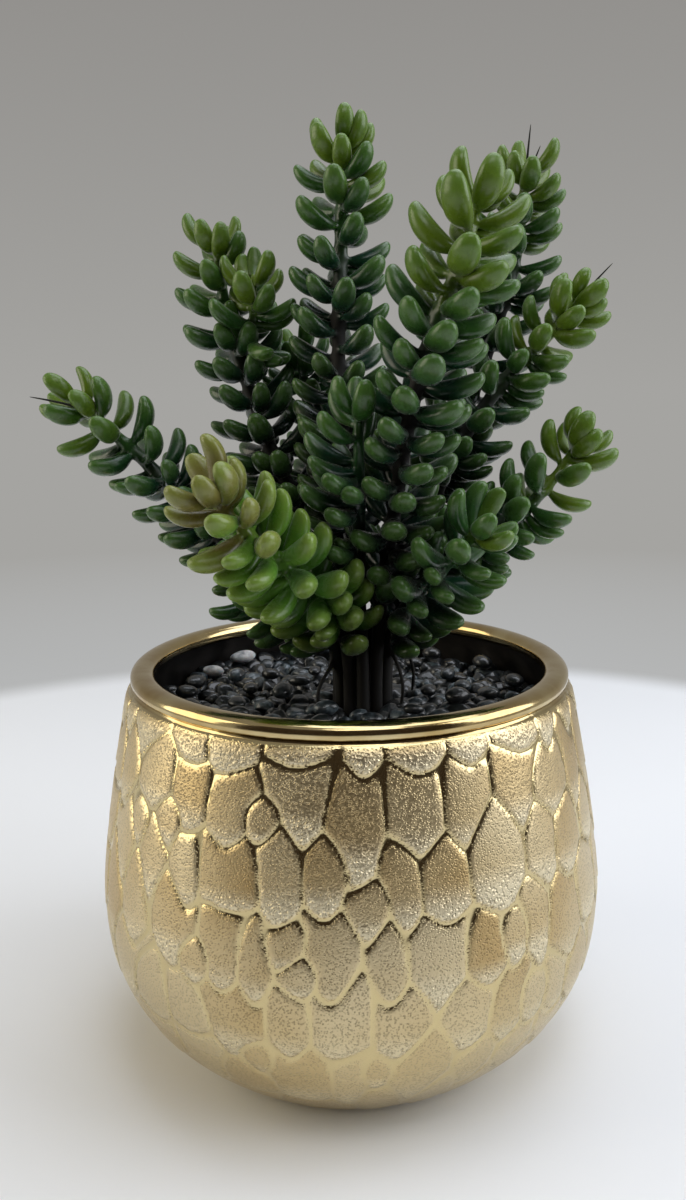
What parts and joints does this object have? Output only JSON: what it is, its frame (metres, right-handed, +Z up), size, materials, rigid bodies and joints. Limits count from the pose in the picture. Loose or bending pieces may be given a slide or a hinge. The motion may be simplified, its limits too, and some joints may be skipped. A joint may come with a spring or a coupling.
{
  "type": "potted watch chain plant",
  "caption": "Round-bellied gold ceramic pot with dark gravel and a tight bundle of upright stems set all round with plump, bean-shaped leaves.",
  "frame": {"origin": "on the pot's axis, at the underside of its foot", "axes": "+Z up the pot's axis, +X to the right and +Y to the back as the plant is seen from its front, with the lime stem at the left"},
  "size_m": [0.1611, 0.15, 0.2687],
  "materials": {
    "gold_glaze": "gold lustre over a relief of sanded, stippled pads with polished channels and a polished lip; matt charcoal glaze inside",
    "potting_mix": "damp crumbly bark and peat mix",
    "dark_gravel": "tumbled charcoal gravel with a wet-looking gloss",
    "white_stone": "dusty white tumbled stone",
    "leaf_green": "waxy satin skin, deep bluish green going to fresh yellow-green at the growing tips",
    "leaf_lime": "waxy satin skin, light yellow-green with olive-brown tips"
  },
  "bodies": {
    "root": {"gravel_bed": "dark_gravel", "pebble_01": "dark_gravel", "pebble_02": "dark_gravel", "pebble_03": "dark_gravel", "pebble_04": "dark_gravel", "pebble_05": "dark_gravel", "pebble_06": "dark_gravel", "pebble_07": "dark_gravel", "pebble_08": "dark_gravel", "pebble_09": "dark_gravel", "pebble_10": "dark_gravel", "pebble_11": "dark_gravel", "pebble_12": "dark_gravel", "pebble_13": "dark_gravel", "pebble_14": "dark_gravel", "pebble_15": "dark_gravel", "pebble_16": "dark_gravel", "pebble_17": "dark_gravel", "pebble_18": "dark_gravel", "pebble_19": "dark_gravel", "pebble_20": "dark_gravel", "pebble_21": "dark_gravel", "pebble_22": "dark_gravel", "pebble_23": "dark_gravel", "pebble_24": "dark_gravel", "pebble_25": "dark_gravel", "pebble_26": "dark_gravel", "pebble_27": "dark_gravel", "pebble_28": "dark_gravel", "pebble_29": "dark_gravel", "pebble_30": "dark_gravel", "pebble_31": "dark_gravel", "pebble_32": "dark_gravel", "pebble_33": "dark_gravel", "pebble_34": "dark_gravel", "pebble_35": "dark_gravel", "pebble_36": "dark_gravel", "pebble_37": "dark_gravel", "pebble_38": "dark_gravel", "pebble_39": "dark_gravel", "pebble_40": "dark_gravel", "pot": "gold_glaze", "potting_mix": "potting_mix", "stem_back": "leaf_green", "stem_centre_front": "leaf_green", "stem_centre_tall": "leaf_green", "stem_front_lime": "leaf_lime", "stem_front_right": "leaf_green", "stem_left_arching": "leaf_green", "stem_left_low": "leaf_green", "stem_left_tall": "leaf_green", "stem_right_front": "leaf_green", "stem_right_lower": "leaf_green", "stem_right_tall": "leaf_green", "stem_right_upper": "leaf_green", "white_stone_1": "white_stone", "white_stone_2": "white_stone"}
  },
  "joints": []
}
